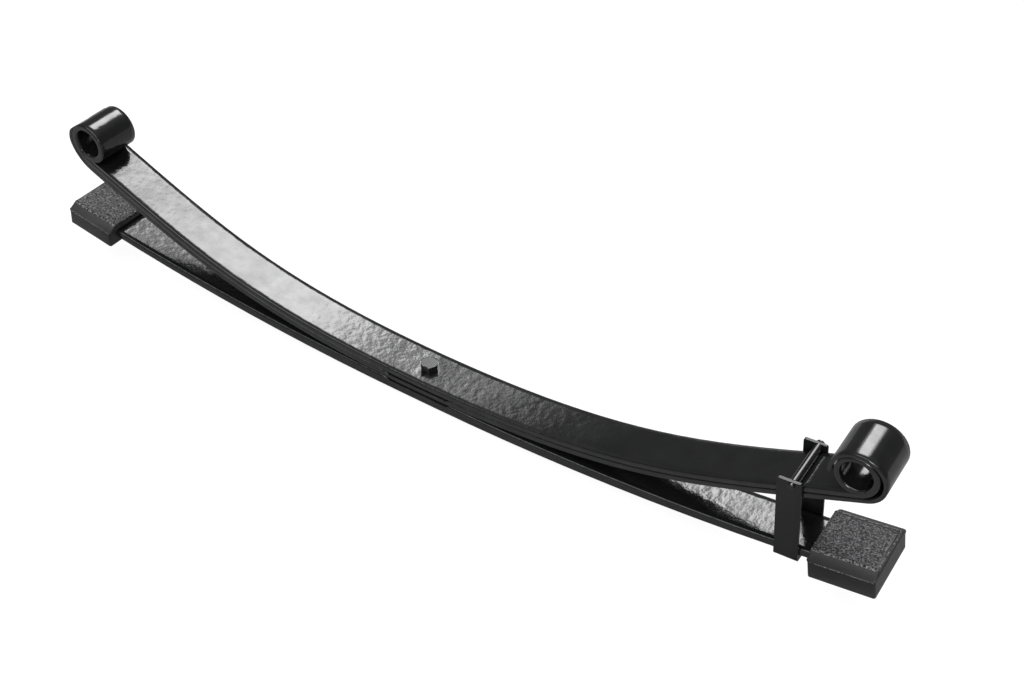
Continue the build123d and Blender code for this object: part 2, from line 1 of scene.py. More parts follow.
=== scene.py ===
"""Leaf spring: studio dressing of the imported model, laid out as a Blender add-on."""
import math

import bpy
from bpy.props import FloatProperty, FloatVectorProperty, PointerProperty
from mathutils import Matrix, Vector


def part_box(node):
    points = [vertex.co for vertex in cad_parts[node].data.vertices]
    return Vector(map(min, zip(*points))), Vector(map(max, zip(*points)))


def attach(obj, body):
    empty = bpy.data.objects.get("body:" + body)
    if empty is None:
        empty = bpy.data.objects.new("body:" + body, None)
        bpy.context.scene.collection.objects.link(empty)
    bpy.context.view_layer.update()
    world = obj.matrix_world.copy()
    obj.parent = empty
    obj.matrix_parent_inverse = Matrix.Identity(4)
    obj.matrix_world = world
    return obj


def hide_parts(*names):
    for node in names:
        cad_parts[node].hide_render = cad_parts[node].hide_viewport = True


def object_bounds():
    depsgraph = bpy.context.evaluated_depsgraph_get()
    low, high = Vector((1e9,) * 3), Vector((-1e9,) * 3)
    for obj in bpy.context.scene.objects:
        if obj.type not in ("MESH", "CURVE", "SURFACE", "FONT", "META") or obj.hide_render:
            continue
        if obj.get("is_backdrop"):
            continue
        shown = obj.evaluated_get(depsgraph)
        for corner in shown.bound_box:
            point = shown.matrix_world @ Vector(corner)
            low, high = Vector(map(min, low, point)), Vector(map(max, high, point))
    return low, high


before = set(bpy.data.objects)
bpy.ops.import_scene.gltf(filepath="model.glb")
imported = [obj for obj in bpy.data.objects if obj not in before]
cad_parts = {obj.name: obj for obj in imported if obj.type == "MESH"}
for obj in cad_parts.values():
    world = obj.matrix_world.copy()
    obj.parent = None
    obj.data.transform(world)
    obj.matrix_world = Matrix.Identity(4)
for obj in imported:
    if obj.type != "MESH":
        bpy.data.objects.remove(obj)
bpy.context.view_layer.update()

bl_info = {
    "name": "Leaf Spring",
    "version": (1, 0, 0),
    "blender": (4, 5, 0),
    "location": "3D View > Sidebar > Leaf Spring",
    "description": "Finishes a two-stage leaf spring and sets a pale studio round it",
    "category": "Object",
}

BODY = "spring"
SLOTS = {"leaf": "leaf_steel", "hardware": "fastener_steel", "pad": "pad_rubber"}

# Lengths are in metres and angles in degrees.
# A noise texture's values lie mostly between these two.
NOISE_LOW, NOISE_HIGH = 0.3, 0.7

# Paint: slow clouds of tone and gloss, and the leaves' shoulder and dimples.
PAINT_CLOUD = 0.06
PALE_PAINT = 2.2
GLOSS_SPREAD = 0.05
SKIN_SPREAD = 0.18
DIMPLE_FADE = 0.03
SHOULDER_CURVE = 2.0
SHOULDER_DROP = 0.25
LEAF_SKIN = 0.6
HARDWARE_SKIN = 0.3
BOLT_SKIN = 1.0
CLIP_SKIN = 0.05
CLIP_DULLNESS = 0.14

# Rubber: darker and paler tones as shares of the pads' colour, gloss and grain; on the grained
# tops the hollows carry painted shade, and the crests, top edges and bead carry painted
# highlights.
RUBBER_CLOUD = 0.03
RUBBER_TONES = (0.7, 1.5)
RUBBER_ROUGHNESS = (0.26, 0.42)
RUBBER_GRAIN_DEPTH = 0.0003
HOLLOW_SHADE = 0.4
SPECK_DETAIL = 4.0
SPECK_BREAKUP = 0.75
HIGHLIGHT_FROM, HIGHLIGHT_TO = 0.44, 0.64
SPECK_ROUGHNESS = (0.12, 0.3)
SPECK_DEPTH = 0.0016
FINE_DEPTH = 0.0002
# Top edges and bead: painted highlight lines, paler still than the specks.
EDGE_HIGHLIGHT_PALENESS = 1.7

# Edges sharper than this stay sharp in the shading.
LEAF_SHARP = 32
SHANK_SHARP = 35
HEXAGON_SHARP = 30
PAD_SHARP = 40

# Copies of the solids: what counts as one point, and as one flat face.
MERGE_NEAR = 0.000002
FLAT_ANGLE = 0.2

# Centre bolt: small bevels, and the cone that chamfers the hexagon's corners.
HEAD_BEVEL = 0.0012
RIM_BEVEL = 0.0003
RIM_ANGLE = 35
CONE_SPREAD = 1.6
CONE_CUT = 0.0016
CONE_HEIGHT = 1.02
CONE_MIDDLE = 0.49
HEXAGON_MERGE_NEAR = 0.00001

# Pads: what counts as lying on a plane, the small bevels, and the moulded grain.
NEAR = 0.0001
BEAD_HEIGHT = 0.0018
BEAD_NEAR = 0.0003
CORNER_BEVEL = 0.003
FOOT_BEVEL = 0.0007
TOP_BEVEL = 0.0024
TOP_NEAR = 0.0008
FLAT_UP = 0.995
MIDDLE_REACH = 0.005
GRAIN_CUTS = 120
GRAIN_INSET = 0.0005
SLOT_GAP = 0.0003

# Light by direction: an axis, where along it the light starts and ends its change,
# and its share before and after.
CORE_EDGE, CORE_SHARE = ("X", -0.445, -0.395), 0.78
SKIRT_EDGE, SKIRT_SHARE = ("X", -0.535, -0.455), 0.2
ZONE_LIMITS = (
    ("X", -0.06, 0.15, 1.0, 0.0),
    ("Y", 0.25, 0.42, 0.0, 1.0),
    ("Y", 0.68, 0.78, 1.0, 0.0),
    ("Z", 0.35, 0.6, 0.0, 1.0),
)
FRONT_EDGE = ("X", -0.6, -0.35)
FRONT_LIMITS = (
    ("X", 0.5, 0.8, 1.0, 0.0),
    ("Y", -0.4, -0.15, 1.0, 0.0),
    ("Z", 0.3, 0.6, 0.0, 1.0),
)
SKY_RISE = ("Z", 0.3, 0.95)

# Studio: floor, lamp and camera.
FLOOR_SIZE = 9
FLOOR_COLOUR = (0.2, 0.2, 0.2, 1)
FLOOR_ROUGHNESS = 0.9
WHITE = (1, 1, 1, 1)
LAMP_PLACE = (1.1, -1.9, 0.9)
LAMP_AIM = (0.2, 0, 0.1)
LAMP_SIZE = (0.5, 0.25)
CAMERA_PLACE = (0.9135, -1.1380, 1.3778)
CAMERA_TURN = (math.acos(0.65473), 0, math.atan2(0.55137, 0.83426))
CAMERA_SHIFT = (-0.0113, -0.0161)
SENSOR_WIDTH = 36


# ------------------------------------------------------------------ settings
class LeafSpringPaint(bpy.types.PropertyGroup):
    """Black paint on the leaves and hardware."""

    colour: FloatVectorProperty(
        name="Paint colour", description="Base colour of the black paint",
        subtype="COLOR", size=3, min=0, max=1, default=(0.006, 0.0062, 0.0066),
    )
    roughness: FloatProperty(
        name="Gloss roughness", description="Roughness of the paint under its clear skin",
        min=0, max=1, default=0.17, subtype="FACTOR",
    )
    skin_roughness: FloatProperty(
        name="Skin roughness", description="Roughness of the paint's clear skin",
        min=0, max=1, default=0.08, subtype="FACTOR",
    )
    dimple_size: FloatProperty(
        name="Dimple size", description="Size of the forging dimples under the paint",
        min=0.001, max=0.05, default=0.011, unit="LENGTH",
    )
    dimple_depth: FloatProperty(
        name="Dimple depth", description="Depth of the forging dimples",
        min=0, max=0.002, default=0.0004, unit="LENGTH",
    )
    gloss_size: FloatProperty(
        name="Gloss patches", description="Size of the patches where the skin is thinner",
        min=0.001, max=0.2, default=0.02, unit="LENGTH",
    )
    plain_from: FloatProperty(
        name="Plain ends", description="Distance from the middle past which no dimples show",
        min=0, max=2, default=0.625, unit="LENGTH",
    )
    rolled_edge: FloatProperty(
        name="Rolled edge", description="Width of the rounded shoulder along a leaf's edge",
        min=0.0005, max=0.02, default=0.01, unit="LENGTH",
    )
    peel_size: FloatProperty(
        name="Orange peel size", description="Size of the ripples in the paint film",
        min=0.0005, max=0.02, default=0.0026, unit="LENGTH",
    )
    peel_depth: FloatProperty(
        name="Orange peel depth", description="Depth of the ripples in the paint film",
        min=0, max=0.001, default=0.00003, unit="LENGTH",
    )


class LeafSpringRubber(bpy.types.PropertyGroup):
    """Moulded end pads."""

    colour: FloatVectorProperty(
        name="Pad colour", description="Base colour of the moulded pads",
        subtype="COLOR", size=3, min=0, max=1, default=(0.034, 0.034, 0.035),
    )
    grain: FloatProperty(
        name="Grain size", description="Size of the fine grain in the pads' skin",
        min=0.0002, max=0.01, default=0.0012, unit="LENGTH",
    )
    # Paler specks are painted highlights on the crests of the grain.
    speck_highlight: FloatProperty(
        name="Speck paleness", description="How many times paler the specks are than the pads",
        min=1, max=20, default=7.5,
    )
    speck: FloatProperty(
        name="Speck size", description="Size of the pale specks on the grained tops",
        min=0.0005, max=0.01, default=0.0025, unit="LENGTH",
    )


class LeafSpringPads(bpy.types.PropertyGroup):
    """Sizes of the moulded end pads."""

    length: FloatProperty(
        name="Pad length", description="Length of a pad along the leaf",
        min=0.01, max=0.3, default=0.0878, unit="LENGTH",
    )
    height: FloatProperty(
        name="Pad height", description="Height of a pad, square to the leaf",
        min=0.01, max=0.1, default=0.0376, unit="LENGTH",
    )
    left_tilt: FloatProperty(
        name="Left tilt", description="Slope of the left pad",
        min=0, max=0.5, default=math.radians(9.8), subtype="ANGLE",
    )
    right_tilt: FloatProperty(
        name="Right tilt", description="Slope of the right pad",
        min=0, max=0.5, default=math.radians(10.1), subtype="ANGLE",
    )
    bevel_width: FloatProperty(
        name="Bevel width", description="Width of the long bevels, across the pad",
        min=0, max=0.03, default=0.0127, unit="LENGTH",
    )
    bevel_height: FloatProperty(
        name="Bevel height", description="Height of the long bevels",
        min=0, max=0.02, default=0.0094, unit="LENGTH",
    )
    border: FloatProperty(
        name="Top border", description="Width of the plain strip round the grained top",
        min=0.0005, max=0.01, default=0.0042, unit="LENGTH",
    )
    bead: FloatProperty(
        name="Parting bead", description="How far the bead stands out under the bevels",
        min=0, max=0.002, default=0.0008, unit="LENGTH",
    )
    grain_size: FloatProperty(
        name="Top grain size", description="Size of the coarse grain in the pads' tops",
        min=0.0003, max=0.01, default=0.0009, unit="LENGTH",
    )
    grain_height: FloatProperty(
        name="Top grain height", description="Height of the coarse grain",
        min=0, max=0.003, default=0.0008, unit="LENGTH",
    )


class LeafSpringBolt(bpy.types.PropertyGroup):
    """Sizes of the centre bolt."""

    across_flats: FloatProperty(
        name="Across flats", description="Width of the hexagon across its flats",
        min=0.005, max=0.06, default=0.024, unit="LENGTH",
    )
    hex_height: FloatProperty(
        name="Hexagon height", description="Height of the hexagon",
        min=0.002, max=0.04, default=0.0102, unit="LENGTH",
    )
    shank: FloatProperty(
        name="Shank diameter", description="Diameter of the bolt's shank",
        min=0.004, max=0.04, default=0.016, unit="LENGTH",
    )


class LeafSpringStudio(bpy.types.PropertyGroup):
    """Floor, light and camera."""

    floor_drop: FloatProperty(
        name="Floor drop", description="Gap between the lowest point and the floor",
        min=0, max=1, default=0.0, unit="LENGTH",
    )
    floor_glow: FloatProperty(
        name="Floor glow", description="How far the floor reads as white, 0 for plain",
        min=0, max=1, default=0.91, subtype="FACTOR",
    )
    floor_mirrored: FloatProperty(
        name="White in reflections",
        description="Share of the floor's and the backdrop's white that gloss mirrors",
        min=0, max=1, default=0.12, subtype="FACTOR",
    )
    sky_high: FloatProperty(
        name="Overhead light", description="Strength of the soft light from above",
        min=0, max=5, default=0.3,
    )
    sky_low: FloatProperty(
        name="Side light", description="Strength of the soft light from the sides",
        min=0, max=5, default=0.02,
    )
    zone_light: FloatProperty(
        name="Bright zone", description="Strength of the bright zone above and behind",
        min=0, max=50, default=8.3,
    )
    front_zone: FloatProperty(
        name="Front zone", description="Strength of the weaker bright zone in front",
        min=0, max=50, default=1.7,
    )
    front_power: FloatProperty(
        name="Front power", description="Power of the lamp in front and to the right",
        min=0, max=500, default=8, unit="POWER",
    )
    lens: FloatProperty(
        name="Lens", description="Focal length of the camera",
        min=10, max=200, default=48.24, unit="CAMERA",
    )


# ----------------------------------------------------------------- materials
def new_material(name):
    """Material with only an output and a principled shader."""
    mat = bpy.data.materials.new(name)
    mat.use_nodes = True
    nodes = mat.node_tree.nodes
    nodes.clear()
    out = nodes.new("ShaderNodeOutputMaterial")
    shader = nodes.new("ShaderNodeBsdfPrincipled")
    mat.node_tree.links.new(shader.outputs["BSDF"], out.inputs["Surface"])
    return mat, shader


def add_node(owner, kind, **values):
    """Add a node to a material or a world, and set its sockets or its settings."""
    node = owner.node_tree.nodes.new(kind)
    for key, value in values.items():
        if key in node.inputs:
            node.inputs[key].default_value = value
        else:
            setattr(node, key, value)
    return node


def wire(owner, source, target):
    """Link a node's output to a socket."""
    owner.node_tree.links.new(source, target)


def maths(owner, operation, first, second):
    """Join two values, each of them an output or a plain number."""
    node = add_node(owner, "ShaderNodeMath", operation=operation)
    for socket, value in zip(node.inputs, (first, second)):
        if isinstance(value, float):
            socket.default_value = value
        else:
            wire(owner, value, socket)
    return node.outputs[0]


def ramp(owner, source, start, end, low, high, kind="LINEAR"):
    """Map the range from start to end on to the range from low to high."""
    node = add_node(owner, "ShaderNodeMapRange", interpolation_type=kind)
    node.inputs["From Min"].default_value = start
    node.inputs["From Max"].default_value = end
    node.inputs["To Min"].default_value = low
    node.inputs["To Max"].default_value = high
    wire(owner, source, node.inputs["Value"])
    return node.outputs["Result"]


def noise(mat, coords, size, detail=2.0, breakup=0.5):
    """Noise of a given feature size, on the piece's own coordinates."""
    tex = add_node(
        mat, "ShaderNodeTexNoise", Scale=1.0 / size, Detail=detail, Roughness=breakup,
    )
    wire(mat, coords.outputs["Object"], tex.inputs["Vector"])
    return tex.outputs["Fac"]


def spread(mat, source, low, high):
    """Map a noise on to a range."""
    return ramp(mat, source, NOISE_LOW, NOISE_HIGH, low, high)


def distance_ramp(mat, coords, axis, start, end, low, high):
    """Straight ramp over the distance from the middle plane of an axis."""
    parts = add_node(mat, "ShaderNodeSeparateXYZ")
    wire(mat, coords.outputs["Object"], parts.inputs["Vector"])
    away = add_node(mat, "ShaderNodeMath", operation="ABSOLUTE")
    wire(mat, parts.outputs[axis], away.inputs[0])
    return ramp(mat, away.outputs[0], start, end, low, high)


def shade(colour, share):
    """Colour made darker or paler by a share."""
    return [share * part for part in colour]


def tint(mat, shader, factor, dark, pale):
    """Colour a shader between a darker and a paler tone."""
    tone = add_node(mat, "ShaderNodeMix", data_type="RGBA")
    tone.inputs["A"].default_value = (*dark, 1)
    tone.inputs["B"].default_value = (*pale, 1)
    wire(mat, factor, tone.inputs["Factor"])
    wire(mat, tone.outputs["Result"], shader.inputs["Base Color"])


def raise_bumps(mat, shader, layers):
    """Stack bump layers of (height output, depth) on a shader's normal."""
    normal = None
    for height, depth in layers:
        bump = add_node(mat, "ShaderNodeBump", Strength=1.0, Distance=depth)
        wire(mat, height, bump.inputs["Height"])
        if normal is not None:
            wire(mat, normal, bump.inputs["Normal"])
        normal = bump.outputs["Normal"]
    wire(mat, normal, shader.inputs["Normal"])
    if shader.inputs["Coat Weight"].default_value > 0:
        wire(mat, normal, shader.inputs["Coat Normal"])


def forged_layers(mat, coords, paint):
    """Bump layers of a leaf: the rounded shoulder along its edges, and the dimples."""
    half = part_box("main_leaf")[1][1]
    fall = distance_ramp(mat, coords, "Y", half - paint.rolled_edge, half, 0.0, 1.0)
    shoulder = maths(mat, "SUBTRACT", 1.0, maths(mat, "POWER", fall, SHOULDER_CURVE))
    dimpled = distance_ramp(
        mat, coords, "X", paint.plain_from - DIMPLE_FADE, paint.plain_from, 1.0, 0.0,
    )
    dimples = maths(mat, "MULTIPLY", noise(mat, coords, paint.dimple_size), dimpled)
    return [(shoulder, paint.rolled_edge * SHOULDER_DROP), (dimples, paint.dimple_depth)]


def paint_material(name, paint, skin, dullness=0.0, forged=False):
    """Black paint with clouds of gloss and orange peel, over plain or forged steel."""
    mat, shader = new_material(name)
    coords = add_node(mat, "ShaderNodeTexCoord")
    clouds = noise(mat, coords, PAINT_CLOUD, 3.0)
    tint(mat, shader, clouds, paint.colour, shade(paint.colour, PALE_PAINT))
    rough = paint.roughness + dullness
    gloss = spread(mat, clouds, rough - GLOSS_SPREAD, rough + GLOSS_SPREAD)
    wire(mat, gloss, shader.inputs["Roughness"])
    shader.inputs["Coat Weight"].default_value = skin
    shader.inputs["Coat Roughness"].default_value = paint.skin_roughness
    layers = [(noise(mat, coords, paint.peel_size), paint.peel_depth)]
    if forged:
        patches = noise(mat, coords, paint.gloss_size, 3.0)
        worn_skin = spread(mat, patches, skin - SKIN_SPREAD, skin + SKIN_SPREAD)
        wire(mat, worn_skin, shader.inputs["Coat Weight"])
        layers = forged_layers(mat, coords, paint) + layers
    raise_bumps(mat, shader, layers)
    return mat


def rubber_material(name, rubber):
    """Moulded rubber with a fine grained skin."""
    mat, shader = new_material(name)
    coords = add_node(mat, "ShaderNodeTexCoord")
    grain = noise(mat, coords, rubber.grain, 3.0)
    clouds = noise(mat, coords, RUBBER_CLOUD)
    tint(mat, shader, clouds, *(shade(rubber.colour, share) for share in RUBBER_TONES))
    wire(mat, spread(mat, grain, *RUBBER_ROUGHNESS), shader.inputs["Roughness"])
    raise_bumps(mat, shader, [(grain, RUBBER_GRAIN_DEPTH)])
    return mat


def grained_material(name, rubber, highlight_paleness):
    """Coarse grained skin of a pad: painted shade in the hollows and painted highlights on the
    crests.
    """
    mat, shader = new_material(name)
    coords = add_node(mat, "ShaderNodeTexCoord")
    speck = noise(mat, coords, rubber.speck, SPECK_DETAIL, SPECK_BREAKUP)
    fine = noise(mat, coords, rubber.grain)
    # Hollows darkened as painted shade and crests paled as painted highlights, both following
    # the grain's bump.
    highlight_share = ramp(mat, speck, HIGHLIGHT_FROM, HIGHLIGHT_TO, 0.0, 1.0, "SMOOTHSTEP")
    hollow_shade, crest_highlight = shade(rubber.colour, HOLLOW_SHADE), shade(rubber.colour, highlight_paleness)
    tint(mat, shader, highlight_share, hollow_shade, crest_highlight)
    wire(mat, spread(mat, fine, *SPECK_ROUGHNESS), shader.inputs["Roughness"])
    raise_bumps(mat, shader, [(speck, SPECK_DEPTH), (fine, FINE_DEPTH)])
    return mat


def dress(node, mat):
    """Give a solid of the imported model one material."""
    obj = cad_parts[node]
    if not obj.material_slots:
        obj.data.materials.append(mat)
    for slot in obj.material_slots:
        slot.material = mat


# ----------------------------------------------------------- modelling steps
def only(obj):
    """Select one object and make it active."""
    bpy.ops.object.select_all(action="DESELECT")
    obj.select_set(True)
    bpy.context.view_layer.objects.active = obj


def settle(obj):
    """Put an object's place, turn and scale into its mesh."""
    only(obj)
    bpy.ops.object.transform_apply(location=True, rotation=True, scale=True)


def pick(obj, mode, test):
    """In edit mode, select the vertices, the edges or the faces that pass a test."""
    bpy.ops.mesh.select_mode(type=mode)
    bpy.ops.mesh.select_all(action="DESELECT")
    bpy.ops.object.mode_set(mode="OBJECT")
    mesh = obj.data
    if mode == "VERT":
        for vert in mesh.vertices:
            vert.select = test(vert.co)
    elif mode == "EDGE":
        for edge in mesh.edges:
            ends = [mesh.vertices[i].co for i in edge.vertices]
            edge.select = test(*ends)
    else:
        for face in mesh.polygons:
            face.select = test(face)
    bpy.ops.object.mode_set(mode="EDIT")


def apply_modifier(obj, modifier):
    """Put a modifier's work into its object's mesh."""
    only(obj)
    bpy.ops.object.modifier_apply(modifier=modifier.name)


def cut_with(obj, cutter, operation):
    """Cut an object by another, or keep what they share, then remove the other."""
    modifier = obj.modifiers.new("cut", "BOOLEAN")
    modifier.operation = operation
    modifier.solver = "EXACT"
    modifier.object = cutter
    apply_modifier(obj, modifier)
    bpy.data.objects.remove(cutter, do_unlink=True)


def smooth(obj, degrees):
    """Shade smooth, with edges sharper than an angle left sharp."""
    only(obj)
    bpy.ops.object.shade_smooth_by_angle(angle=math.radians(degrees))


def merged_copy(node, name):
    """Copy of a solid with its loose triangles merged into one skin."""
    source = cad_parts[node]
    copy = bpy.data.objects.new(name, source.data.copy())
    bpy.context.collection.objects.link(copy)
    copy.data.materials.clear()
    only(copy)
    bpy.ops.object.mode_set(mode="EDIT")
    bpy.ops.mesh.select_all(action="SELECT")
    bpy.ops.mesh.remove_doubles(threshold=MERGE_NEAR)
    bpy.ops.mesh.dissolve_limited(angle_limit=math.radians(FLAT_ANGLE))
    bpy.ops.object.mode_set(mode="OBJECT")
    return copy


def enter(obj, node, slot, *mats):
    """Give a finished piece its finishes and its place in the frame."""
    while len(obj.data.materials) < len(mats):
        obj.data.materials.append(None)
    for index, mat in enumerate(mats):
        obj.data.materials[index] = mat
    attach(obj, BODY)
    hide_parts(node)


# ----------------------------------------------------------------- operators
class LEAFSPRING_OT_leaves(bpy.types.Operator):
    """Finish the three leaves as smooth copies in gloss black paint"""

    bl_idname = "leafspring.leaves"
    bl_label = "Leaves"

    def execute(self, context):
        paint = context.scene.leafspring_paint
        mat = paint_material("leaf_paint", paint, LEAF_SKIN, forged=True)
        for node in ("main_leaf", "second_leaf", "helper_leaf"):
            dress(node, mat)
            leaf = merged_copy(node, node + "_painted")
            smooth(leaf, LEAF_SHARP)
            weigh = leaf.modifiers.new("weigh", "WEIGHTED_NORMAL")
            weigh.keep_sharp = True
            apply_modifier(leaf, weigh)
            enter(leaf, node, SLOTS["leaf"], mat)
        return {"FINISHED"}


class LEAFSPRING_OT_hardware(bpy.types.Operator):
    """Paint the centre bolt, spacers and rebound clip"""

    bl_idname = "leafspring.hardware"
    bl_label = "Hardware"

    def execute(self, context):
        paint = context.scene.leafspring_paint
        gloss = paint_material("hardware_paint", paint, HARDWARE_SKIN)
        satin = paint_material("clip_paint", paint, CLIP_SKIN, CLIP_DULLNESS)
        for node in (
            "centre_bolt", "centre_nut", "lower_spacer", "upper_spacer",
            "clip_pin", "clip_tube", "clip_rivet",
        ):
            dress(node, gloss)
        dress("clip_strap", satin)
        return {"FINISHED"}


def bolt_shank(bolt, low, high, middle, seat):
    """Locating head under the leaves, with the shank raised from it to the hexagon."""
    bpy.ops.object.select_all(action="DESELECT")
    bpy.ops.mesh.primitive_cylinder_add(
        vertices=64, radius=(high[0] - low[0]) / 2, depth=-low[2],
        location=(*middle, low[2] / 2),
    )
    shank = bpy.context.object
    shank.name = "bolt_shank"
    settle(shank)
    bpy.ops.object.mode_set(mode="EDIT")
    pick(shank, "FACE", lambda f: f.normal.z > 0.9)
    bpy.ops.mesh.inset(thickness=(high[0] - low[0] - bolt.shank) / 2)
    bpy.ops.mesh.extrude_region_move(
        TRANSFORM_OT_translate={"value": (0, 0, seat + bolt.hex_height / 2)},
    )
    pick(shank, "EDGE", lambda a, b: max(a.z, b.z) < low[2] + NEAR)
    bpy.ops.mesh.bevel(offset=HEAD_BEVEL, segments=3)
    bpy.ops.object.mode_set(mode="OBJECT")
    smooth(shank, SHANK_SHARP)
    return shank


def bolt_hexagon(bolt, middle, seat):
    """Plain hexagon on the main leaf, its top corners chamfered by a cone."""
    bpy.ops.object.select_all(action="DESELECT")
    corner = bolt.across_flats / math.sqrt(3)
    bpy.ops.mesh.primitive_cylinder_add(
        vertices=6, radius=corner, depth=bolt.hex_height,
        location=(*middle, seat + bolt.hex_height / 2), rotation=(0, 0, math.radians(30)),
    )
    hexagon = bpy.context.object
    hexagon.name = "bolt_hexagon"
    settle(hexagon)
    bpy.ops.object.select_all(action="DESELECT")
    bpy.ops.mesh.primitive_cone_add(
        vertices=96, radius1=corner + bolt.hex_height * CONE_SPREAD,
        radius2=corner - CONE_CUT, depth=bolt.hex_height * CONE_HEIGHT,
        location=(*middle, seat + bolt.hex_height * CONE_MIDDLE),
    )
    cut_with(hexagon, bpy.context.object, "INTERSECT")
    bpy.ops.object.mode_set(mode="EDIT")
    bpy.ops.mesh.select_all(action="SELECT")
    bpy.ops.mesh.remove_doubles(threshold=HEXAGON_MERGE_NEAR)
    bpy.ops.object.mode_set(mode="OBJECT")
    rim = hexagon.modifiers.new("rim", "BEVEL")
    rim.width = RIM_BEVEL
    rim.segments = 2
    rim.limit_method = "ANGLE"
    rim.angle_limit = math.radians(RIM_ANGLE)
    apply_modifier(hexagon, rim)
    smooth(hexagon, HEXAGON_SHARP)
    return hexagon


class LEAFSPRING_OT_bolt(bpy.types.Operator):
    """Model the centre bolt and the plain hexagon above the leaves"""

    bl_idname = "leafspring.bolt"
    bl_label = "Centre bolt"

    def execute(self, context):
        bolt = context.scene.leafspring_bolt
        mat = paint_material("bolt_paint", context.scene.leafspring_paint, BOLT_SKIN)
        low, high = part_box("centre_bolt")
        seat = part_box("centre_nut")[0][2]
        middle = ((low[0] + high[0]) / 2, (low[1] + high[1]) / 2)
        enter(bolt_shank(bolt, low, high, middle, seat), "centre_bolt", SLOTS["hardware"], mat)
        enter(bolt_hexagon(bolt, middle, seat), "centre_nut", SLOTS["hardware"], mat)
        return {"FINISHED"}


def bead_level(pads):
    """Height of the bead's middle, measured from the pad's top."""
    return -pads.bevel_height - BEAD_HEIGHT / 2


def pad_block(name, pads, body_half):
    """Bevelled block with its bead, outward along X from its inner top edge."""
    top_half = body_half - pads.bevel_width
    bpy.ops.object.select_all(action="DESELECT")
    bpy.ops.mesh.primitive_cube_add(size=1, location=(pads.length / 2, 0, -pads.height / 2))
    pad = bpy.context.object
    pad.name = name
    pad.scale = (pads.length, 2 * body_half, pads.height)
    settle(pad)
    bpy.ops.object.mode_set(mode="EDIT")

    # long bevels and a bordered, finely divided top
    for drop in (pads.bevel_height, pads.bevel_height + BEAD_HEIGHT):
        bpy.ops.mesh.select_all(action="SELECT")
        bpy.ops.mesh.bisect(plane_co=(0, 0, -drop), plane_no=(0, 0, 1))
    pick(pad, "VERT", lambda v: v.z > -NEAR)
    bpy.ops.transform.resize(value=(1, top_half / body_half, 1))
    pick(pad, "FACE", lambda f: f.center.z > -NEAR)
    bpy.ops.mesh.inset(thickness=pads.border)
    pick(pad, "FACE", lambda f: f.center.z > -NEAR and abs(f.center.y) < MIDDLE_REACH
         and abs(f.center.x - pads.length / 2) < MIDDLE_REACH)
    bpy.ops.mesh.subdivide(number_cuts=GRAIN_CUTS)

    # rounded corners beside the bevels, then the bead under them
    pick(pad, "EDGE", lambda a, b: abs(a.z - b.z) > NEAR and abs(a.x - b.x) < NEAR
         and min(abs(a.y), abs(b.y)) > top_half - NEAR)
    bpy.ops.mesh.bevel(offset=CORNER_BEVEL, segments=4)
    pick(pad, "FACE", lambda f: abs(f.center.z - bead_level(pads)) < BEAD_NEAR
         and abs(f.normal.z) < 0.5)
    bpy.ops.mesh.extrude_region_shrink_fatten(
        TRANSFORM_OT_shrink_fatten={"value": pads.bead},
    )

    # soft edges at the foot and round the top
    pick(pad, "EDGE", lambda a, b: max(a.z, b.z) < -pads.height + NEAR)
    bpy.ops.mesh.bevel(offset=FOOT_BEVEL, segments=2)
    pick(pad, "EDGE", lambda a, b: min(a.z, b.z) > -NEAR and (
        min(abs(a.y), abs(b.y)) > top_half - TOP_NEAR
        or max(a.x, b.x) < NEAR or min(a.x, b.x) > pads.length - NEAR))
    bpy.ops.mesh.bevel(offset=TOP_BEVEL, segments=3)
    bpy.ops.object.mode_set(mode="OBJECT")
    return pad


def grain_top(pad, pads, body_half):
    """Raise the coarse grain within the border of a pad's top."""
    grain = bpy.data.textures.new(pad.name + "_grain", "CLOUDS")
    grain.noise_scale = pads.grain_size
    grain.noise_depth = 1
    inner = pad.vertex_groups.new(name="grained top")
    edge_x = pads.border + GRAIN_INSET
    edge_y = body_half - pads.bevel_width - pads.border - GRAIN_INSET
    inner.add(
        [v.index for v in pad.data.vertices if v.co.z > -NEAR and abs(v.co.y) < edge_y
         and edge_x < v.co.x < pads.length - edge_x], 1.0, "REPLACE",
    )
    raised = pad.modifiers.new("grain", "DISPLACE")
    raised.texture = grain
    raised.texture_coords = "LOCAL"
    raised.direction = "Z"
    raised.strength = pads.grain_height
    raised.mid_level = 0.5
    raised.vertex_group = inner.name
    apply_modifier(pad, raised)


def mark_finishes(pad, pads, body_half):
    """Set each face's finish: 0 plain, 1 grained top, 2 painted highlight along the top edges
    and bead.
    """
    for _ in range(3):
        pad.data.materials.append(None)
    level = bead_level(pads)
    grained = {v.index for v in pad.data.vertices if any(g.weight > 0.5 for g in v.groups)}
    for face in pad.data.polygons:
        middle = face.center
        # Faces round the top edge and on the bead take the paler finish: painted highlight
        # lines.
        highlight_edge = middle.z > -TOP_BEVEL and face.normal.z < FLAT_UP
        outside = abs(middle.y) > body_half + pads.bead / 2
        bead = outside and abs(middle.z - level) < BEAD_NEAR
        if grained.intersection(face.vertices):
            face.material_index = 1
        elif highlight_edge or bead:
            face.material_index = 2


